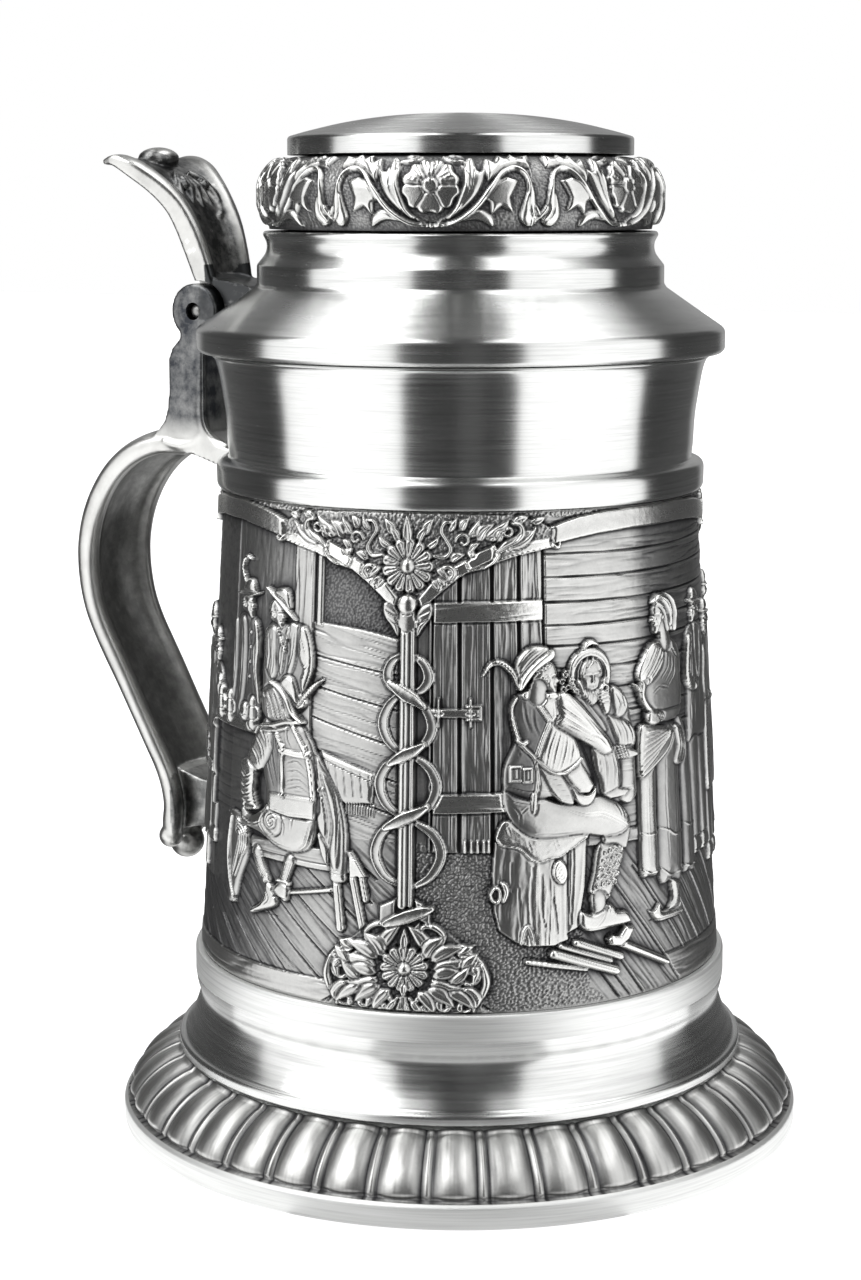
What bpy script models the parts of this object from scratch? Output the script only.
"""Lidded pewter tankard.

A turned and cast drinking vessel: a gadrooned foot with a turned collar, a
conical drum, a waisted neck, a strap handle that carries a three-leaf hinge,
and a domed lid with its thumb lift.  Origin at the middle of the underside of
the foot, +Z up, handle towards -X.  Lengths below are millimetres.
"""
import math

import bmesh
import bpy
from mathutils import Vector

MM = 0.001
STEPS = 40              # facets round a turned piece
GAP = 0.3               # clearance between neighbouring castings

# foot and collar
FOOT_R = 61.0           # outer radius of the plain rim
FOOT_RIM_H = 4.2        # height of the plain rim
FOOT_TOP_Z = 13.7       # top of the gadrooned casting
FOOT_TOP_R = 50.6
COLLAR_TOP_Z = 31.8
COLLAR_TOP_R = 47.7
COLLAR_WAIST_R = 46.9
COLLAR_BORE_R = 44.9
BASE_PLATE_R = 57.5
FLOOR_TOP_Z = 31.4      # inside bottom of the vessel

# drum and neck
DRUM_FOOT_Z = 32.1
DRUM_TOP_Z = 114.1
DRUM_FOOT_R = 47.1      # over the relief
DRUM_TOP_R = 43.0
NECK_RING_R = 42.8
NECK_FOOT_Z = 114.4
MOUTH_Z = 137.4
MOUTH_R = 43.4
BORE_R = 38.9           # narrowest inside radius, in the neck

# lid
LID_FLANGE_R = 46.1
LID_FOOT_Z = 137.7
LID_CONE_TOP = (35.9, 148.8)
LID_NECK_TOP_Z = 158.4
BAND_MAX_R = 35.4
BAND_MAX_Z = 164.2
BAND_TOP_Z = 171.0
DOME_RIM_R = 29.95
APEX_Z = 178.5

# hinge
HINGE_R = 52.0          # distance of the hinge axis from the vessel's axis
HINGE_Z = 143.6
KNUCKLE_R = 5.1
HINGE_HALF = 8.5        # half length of the hinge
LEAF_HALF = 4.7         # half length of the middle leaf
PIN_R = 1.3
PIN_HOLE_R = 1.6
SWEEP_R = 5.6           # clearance radius round a leaf

# handle
STRAP_HALF = 9.6
STRAP_H = 2.4           # half thickness at the beads
POST_IN = 50.4
POST_OUT = 58.0

for o in list(bpy.data.objects):
    bpy.data.objects.remove(o, do_unlink=True)

parts = bpy.data.collections.new("pewter_tankard")
cutters = bpy.data.collections.new("cutters")
bpy.context.scene.collection.children.link(parts)
bpy.context.scene.collection.children.link(cutters)


def pewter(name, colour, rough):
    m = bpy.data.materials.new(name)
    m.use_nodes = True
    b = m.node_tree.nodes["Principled BSDF"]
    b.inputs["Base Color"].default_value = (*colour, 1.0)
    b.inputs["Metallic"].default_value = 1.0
    b.inputs["Roughness"].default_value = rough
    m.diffuse_color = (*colour, 1.0)
    return m


def add(name, mesh, colour=None, rough=0.3, angle=35.0):
    ob = bpy.data.objects.new(name, mesh)
    if colour is None:
        cutters.objects.link(ob)
        ob.hide_render = True
        ob.display_type = "WIRE"
    else:
        parts.objects.link(ob)
        mesh.materials.append(pewter("pewter_" + name, colour, rough))
        mesh.shade_smooth()
        mesh.set_sharp_from_angle(angle=math.radians(angle))
    return ob


def turned(name, prof, colour=None, rough=0.3, steps=STEPS):
    """Profile of (radius, height): down the outside, then up the inside."""
    closed = prof[0][0] > 0.0
    me = bpy.data.meshes.new(name)
    verts = [(r * MM, 0.0, z * MM) for r, z in prof]
    n = len(verts)
    edges = [(i, i + 1) for i in range(n - 1)] + ([(n - 1, 0)] if closed else [])
    me.from_pydata(verts, edges, [])
    ob = add(name, me, colour, rough)
    s = ob.modifiers.new("Turn", "SCREW")
    s.axis = "Z"
    s.angle = math.tau
    s.steps = s.render_steps = steps
    s.use_merge_vertices = True
    s.merge_threshold = 0.00001
    s.use_smooth_shade = True
    return ob


def arc(cr, cz, rr, rz, a0, a1, n, p=1.0, q=1.0):
    """Superelliptic arc of n+1 points from a0 to a1 degrees."""
    out = []
    for i in range(n + 1):
        a = math.radians(a0 + (a1 - a0) * i / n)
        ca, sa = math.cos(a), math.sin(a)
        out.append((cr + rr * math.copysign(abs(ca) ** p, ca),
                    cz + rz * math.copysign(abs(sa) ** q, sa)))
    return out


def side_plate(name, outline, half):
    """Outline of (radius, height) in the handle's plane, thickened along Y."""
    bm = bmesh.new()
    a = [bm.verts.new((-r * MM, -half * MM, z * MM)) for r, z in outline]
    b = [bm.verts.new((-r * MM, half * MM, z * MM)) for r, z in outline]
    n = len(outline)
    bm.faces.new(a)
    bm.faces.new(b[::-1])
    for i in range(n):
        j = (i + 1) % n
        bm.faces.new((a[j], a[i], b[i], b[j]))
    bmesh.ops.recalc_face_normals(bm, faces=bm.faces)
    me = bpy.data.meshes.new(name)
    bm.to_mesh(me)
    bm.free()
    return add(name, me)


def rod(name, r, z, rad, y0, y1, colour=None, rough=0.3, seg=28):
    """Cylinder along Y at (radius r, height z)."""
    bm = bmesh.new()
    bmesh.ops.create_cone(bm, cap_ends=True, segments=seg, radius1=rad * MM,
                          radius2=rad * MM, depth=(y1 - y0) * MM)
    for v in bm.verts:
        x, y, zz = v.co
        v.co = Vector((x - r * MM, zz + (y0 + y1) / 2 * MM, -y + z * MM))
    bmesh.ops.recalc_face_normals(bm, faces=bm.faces)
    me = bpy.data.meshes.new(name)
    bm.to_mesh(me)
    bm.free()
    return add(name, me, colour, rough)


def ball(name, r, y, z, rad, squash=1.0):
    bm = bmesh.new()
    bmesh.ops.create_uvsphere(bm, u_segments=16, v_segments=10, radius=rad * MM)
    for v in bm.verts:
        v.co = Vector((v.co.x - r * MM, v.co.y * squash + y * MM, v.co.z + z * MM))
    me = bpy.data.meshes.new(name)
    bm.to_mesh(me)
    bm.free()
    return add(name, me)


def spline(keys, n):
    """n+1 evenly spread points of a Catmull-Rom curve through keys."""
    k = [Vector(p) for p in keys]
    k = [k[0] * 2 - k[1]] + k + [k[-1] * 2 - k[-2]]
    dense = []
    for i in range(1, len(k) - 2):
        for s in range(24):
            t = s / 24.0
            dense.append(0.5 * (2 * k[i] + (k[i + 1] - k[i - 1]) * t
                                + (2 * k[i - 1] - 5 * k[i] + 4 * k[i + 1] - k[i + 2]) * t * t
                                + (3 * k[i] - k[i - 1] - 3 * k[i + 1] + k[i + 2]) * t ** 3))
    dense.append(k[-2])
    s = [0.0]
    for a, b in zip(dense, dense[1:]):
        s.append(s[-1] + (b.xy - a.xy).length)
    out, j = [], 0
    for i in range(n + 1):
        want = s[-1] * i / n
        while j < len(s) - 2 and s[j + 1] < want:
            j += 1
        f = (want - s[j]) / max(s[j + 1] - s[j], 1e-9)
        out.append(dense[j].lerp(dense[j + 1], min(max(f, 0.0), 1.0)))
    return out


def strap(name, keys, section, n, colour=None, rough=0.3):
    """Loft of a section along a curve in the handle's plane.

    keys are (radius, height, half width, half thickness); the section is
    (across, through) in units of those, with through > 0 on the side that
    lies to the left of the direction of travel.
    """
    path = spline([Vector((a, b, c, d)) for a, b, c, d in keys], n)
    bm = bmesh.new()
    rings = []
    for i, p in enumerate(path):
        a, b = path[max(i - 1, 0)], path[min(i + 1, n)]
        t = Vector((b[0] - a[0], b[1] - a[1])).normalized()
        nx, nz = -t.y, t.x
        rings.append([bm.verts.new((-(p[0] + nx * h * p[3]) * MM, w * p[2] * MM,
                                    (p[1] + nz * h * p[3]) * MM)) for w, h in section])
    m = len(section)
    for ra, rb in zip(rings, rings[1:]):
        for i in range(m):
            j = (i + 1) % m
            bm.faces.new((ra[i], ra[j], rb[j], rb[i]))
    bm.faces.new(rings[0][::-1])
    bm.faces.new(rings[-1])
    bmesh.ops.recalc_face_normals(bm, faces=bm.faces)
    me = bpy.data.meshes.new(name)
    bm.to_mesh(me)
    bm.free()
    return add(name, me, colour, rough)


def combine(ob, other, how):
    m = ob.modifiers.new(how.title() + "_" + other.name, "BOOLEAN")
    m.operation = how
    m.solver = "EXACT"
    m.object = other


# ---------------------------------------------------------------- foot
turned("base_plate", [(0.0, 1.2), (BASE_PLATE_R, 1.2), (BASE_PLATE_R, 0.0), (0.0, 0.0)],
       (0.34, 0.34, 0.33), 0.42)

foot = [(47.6, FOOT_TOP_Z), (FOOT_TOP_R, FOOT_TOP_Z)]
foot += arc(50.4, 4.3, 9.9, 8.9, 80, 6, 6, 1.4, 1.2)
foot += [(60.6, FOOT_RIM_H), (FOOT_R, FOOT_RIM_H - 0.5), (FOOT_R, 0.6), (60.5, 0.0),
         (BASE_PLATE_R + GAP, 0.0), (BASE_PLATE_R + GAP, 1.5), (56.0, 1.5),
         (56.2, 5.2), (52.6, 9.4), (47.6, 11.9)]
turned("foot_ring", foot, (0.55, 0.55, 0.53), 0.28)

collar = [(COLLAR_BORE_R, COLLAR_TOP_Z), (47.55, COLLAR_TOP_Z),
          (COLLAR_TOP_R, COLLAR_TOP_Z - 0.5), (COLLAR_TOP_R, 27.1), (47.4, 25.2),
          (COLLAR_WAIST_R, 23.4), (47.35, 21.4), (48.3, 18.6), (49.9, 15.9),
          (50.85, 15.1), (50.9, FOOT_TOP_Z + GAP), (47.2, FOOT_TOP_Z + GAP),
          (45.6, 18.0), (COLLAR_BORE_R, 22.5)]
turned("foot_collar", collar, (0.50, 0.50, 0.49), 0.22)

turned("vessel_floor", [(0.0, FLOOR_TOP_Z), (COLLAR_BORE_R - 0.4, FLOOR_TOP_Z),
                        (COLLAR_BORE_R - 0.4, 29.3), (0.0, 29.3)],
       (0.42, 0.42, 0.41), 0.38)

# ---------------------------------------------------------------- drum and neck
turned("relief_drum", [(40.0, DRUM_TOP_Z), (42.3, DRUM_TOP_Z), (43.4, 111.0),
                       (DRUM_TOP_R, 104.0), (DRUM_FOOT_R, 33.4), (47.1, DRUM_FOOT_Z),
                       (44.5, DRUM_FOOT_Z)],
       (0.40, 0.40, 0.39), 0.40)

neck = [(40.9, MOUTH_Z), (MOUTH_R - 0.2, MOUTH_Z), (MOUTH_R, MOUTH_Z - 0.3),
        (42.9, 136.5), (42.3, 134.8), (41.6, 130.5), (41.05, 126.5), (40.8, 122.0),
        (40.6, 119.8), (42.0, 119.2), (42.6, 118.7), (NECK_RING_R, 118.1),
        (42.65, 115.0), (42.4, NECK_FOOT_Z), (40.0, NECK_FOOT_Z),
        (BORE_R, 118.6), (39.1, 126.0), (39.8, 132.5)]
turned("neck_band", neck, (0.50, 0.50, 0.49), 0.20)

# ---------------------------------------------------------------- lid
ct_r, ct_z = LID_CONE_TOP
cone = [(32.2, LID_NECK_TOP_Z), (34.0, LID_NECK_TOP_Z), (34.28, 158.0), (33.65, 156.2),
        (33.9, 154.6), (35.1, 153.0), (35.4, 152.2), (35.4, 149.6), (ct_r, ct_z),
        (45.7, 142.0), (LID_FLANGE_R, 141.4), (LID_FLANGE_R, 138.5), (45.4, LID_FOOT_Z),
        (40.6, LID_FOOT_Z), (40.6, 139.6), (34.4, 146.2), (32.6, 149.5)]
turned("lid_cone", cone, (0.50, 0.50, 0.49), 0.22)

band = [(28.6, BAND_TOP_Z), (30.6, BAND_TOP_Z)]
band += arc(31.0, BAND_MAX_Z, BAND_MAX_R - 31.0, 6.5, 78, 0, 5, 1.25)
band += arc(31.0, BAND_MAX_Z, BAND_MAX_R - 31.0, 6.2, 0, -50, 3)[1:]
band += [(33.6, 158.7), (31.2, 158.7), (32.4, 163.6), (31.2, 167.4), (28.6, 169.4)]
turned("lid_band", band, (0.42, 0.42, 0.41), 0.35)

dome = [(0.0, APEX_Z), (6.0, APEX_Z - 0.15), (13.0, 177.9), (20.0, 176.8), (26.0, 175.4),
        (29.3, 174.7), (DOME_RIM_R, 174.1), (DOME_RIM_R, BAND_TOP_Z + GAP),
        (27.6, BAND_TOP_Z + GAP), (27.2, 173.2), (19.0, 175.0), (9.0, 176.4), (0.0, 176.8)]
turned("lid_dome", dome, (0.52, 0.52, 0.51), 0.24)

# ---------------------------------------------------------------- handle
# strap section: crowned back, a bead along each edge, a channel between them
half = [(0.0, 1.0), (0.42, 0.97), (0.80, 0.74), (0.98, 0.2), (1.0, -0.42), (0.9, -0.95),
        (0.74, -0.97), (0.6, -0.5), (0.3, -0.18)]
SECTION = half + [(0.0, -0.06)] + [(-w, h) for w, h in half[:0:-1]]

H = STRAP_H
handle_keys = [
    (55.0, 119.4, 8.3, H), (61.2, 119.3, 8.9, H), (66.6, 117.5, 9.4, H + 0.1),
    (71.3, 114.1, STRAP_HALF, H + 0.2), (74.8, 109.7, STRAP_HALF, H + 0.25),
    (77.3, 104.7, STRAP_HALF, H + 0.3), (78.6, 99.6, STRAP_HALF, H + 0.3),
    (78.8, 95.1, STRAP_HALF, H + 0.25), (78.3, 90.6, STRAP_HALF, H + 0.2),
    (77.1, 86.3, STRAP_HALF, H + 0.1), (75.2, 82.1, STRAP_HALF, H),
    (72.9, 78.0, STRAP_HALF, H), (70.3, 73.6, STRAP_HALF, H - 0.1),
    (67.1, 67.9, STRAP_HALF, H - 0.2), (63.9, 62.2, STRAP_HALF, H - 0.2),
    (61.4, 57.6, 9.5, H - 0.2), (60.1, 53.8, 9.3, H - 0.1), (59.6, 50.2, 9.2, H - 0.1),
    (59.9, 46.7, 9.2, H), (60.3, 43.4, 8.8, 1.9)]
handle = strap("handle", handle_keys, SECTION, 30, (0.46, 0.46, 0.44), 0.30)

post = [(POST_IN, 140.5), (POST_IN, 121.6), (47.1, 119.1), (40.0, 118.6), (40.0, 114.9),
        (47.6, 115.8), (52.5, 117.3), (59.0, 118.0), (62.4, 120.2), (60.6, 121.6), (59.2, 123.2),
        (58.4, 125.6), (POST_OUT, 129.0), (POST_OUT, 134.6), (57.2, 136.6), (55.4, 138.4),
        (54.9, 141.0)]
combine(handle, side_plate("handle_post", post, HINGE_HALF), "UNION")
combine(handle, rod("handle_knuckles", HINGE_R, HINGE_Z, KNUCKLE_R, -HINGE_HALF, HINGE_HALF),
        "UNION")
lug = [(40.0, 47.0), (50.0, 47.4), (59.0, 45.0), (60.4, 50.0), (60.4, 57.0), (55.0, 55.4),
       (50.0, 54.6), (40.0, 55.4)]
combine(handle, side_plate("handle_lug", lug, 5.2), "UNION")
for side in (-1, 1):
    combine(handle, ball("handle_lobe_%s" % ("near" if side < 0 else "far"),
                         60.2, side * 7.0, 44.0, 2.3), "UNION")
combine(handle, ball("handle_drop", 61.7, 0.0, 41.4, 3.4), "UNION")
combine(handle, rod("hinge_slot", HINGE_R, HINGE_Z, SWEEP_R, -LEAF_HALF - 0.4,
                    LEAF_HALF + 0.4), "DIFFERENCE")
combine(handle, rod("pin_hole", HINGE_R, HINGE_Z, PIN_HOLE_R, -12.0, 12.0, seg=20),
        "DIFFERENCE")
# the handle is fitted to the neck ring above and to the drum below
seat = [(0.0, 130.0), (NECK_RING_R + GAP, 130.0), (NECK_RING_R + GAP, 113.0),
        (DRUM_TOP_R + GAP, 103.0), (DRUM_FOOT_R + GAP, 33.0), (0.0, 33.0)]
combine(handle, turned("handle_seat", seat, steps=80), "DIFFERENCE")

rod("hinge_pin", HINGE_R, HINGE_Z, PIN_R, -7.9, 7.9, (0.38, 0.38, 0.37), 0.35, seg=20)

# ---------------------------------------------------------------- thumb lift
# lift section: flat back and sides, a border along each edge, a channel between
lift_half = [(0.0, -1.0), (0.6, -1.0), (0.93, -0.92), (1.0, -0.7), (1.0, 0.6), (0.93, 0.95),
             (0.76, 1.0), (0.6, 0.62), (0.3, 0.3)]
LIFT_SECTION = lift_half + [(0.0, 0.2)] + [(-w, h) for w, h in lift_half[:0:-1]]
thumb_keys = [
    (50.4, 144.5, 6.2, 1.9), (51.0, 148.5, 6.6, 2.1), (51.9, 151.8, 7.0, 2.3),
    (53.1, 155.5, 7.5, 2.4), (54.5, 159.2, 8.1, 2.3), (56.5, 162.8, 8.8, 2.1),
    (59.4, 166.1, 10.3, 1.9), (63.0, 169.0, 12.2, 1.7), (66.4, 170.7, 12.9, 1.2),
    (68.9, 170.5, 12.6, 0.6)]
thumb = strap("thumb_lift", thumb_keys, LIFT_SECTION, 20,
              (0.52, 0.52, 0.50), 0.26)
shank = [(39.6, 147.0), (46.2, 142.4), (46.8, 141.9), (49.0, 140.9), (52.0, 143.6),
         (53.0, 148.0), (51.6, 150.6), (48.6, 149.4), (44.6, 148.9), (41.4, 148.3)]
combine(thumb, side_plate("lift_shank", shank, 6.4), "UNION")
combine(thumb, ball("lift_boss", 65.3, 0.0, 171.6, 3.1, 2.0), "UNION")
combine(thumb, rod("leaf_relief_near", HINGE_R, HINGE_Z, SWEEP_R, -14.0, -LEAF_HALF),
        "DIFFERENCE")
combine(thumb, rod("leaf_relief_far", HINGE_R, HINGE_Z, SWEEP_R, LEAF_HALF, 14.0),
        "DIFFERENCE")
combine(thumb, rod("leaf_knuckle", HINGE_R, HINGE_Z, KNUCKLE_R, -LEAF_HALF, LEAF_HALF),
        "UNION")
combine(thumb, rod("leaf_hole", HINGE_R, HINGE_Z, PIN_HOLE_R, -12.0, 12.0, seg=20),
        "DIFFERENCE")
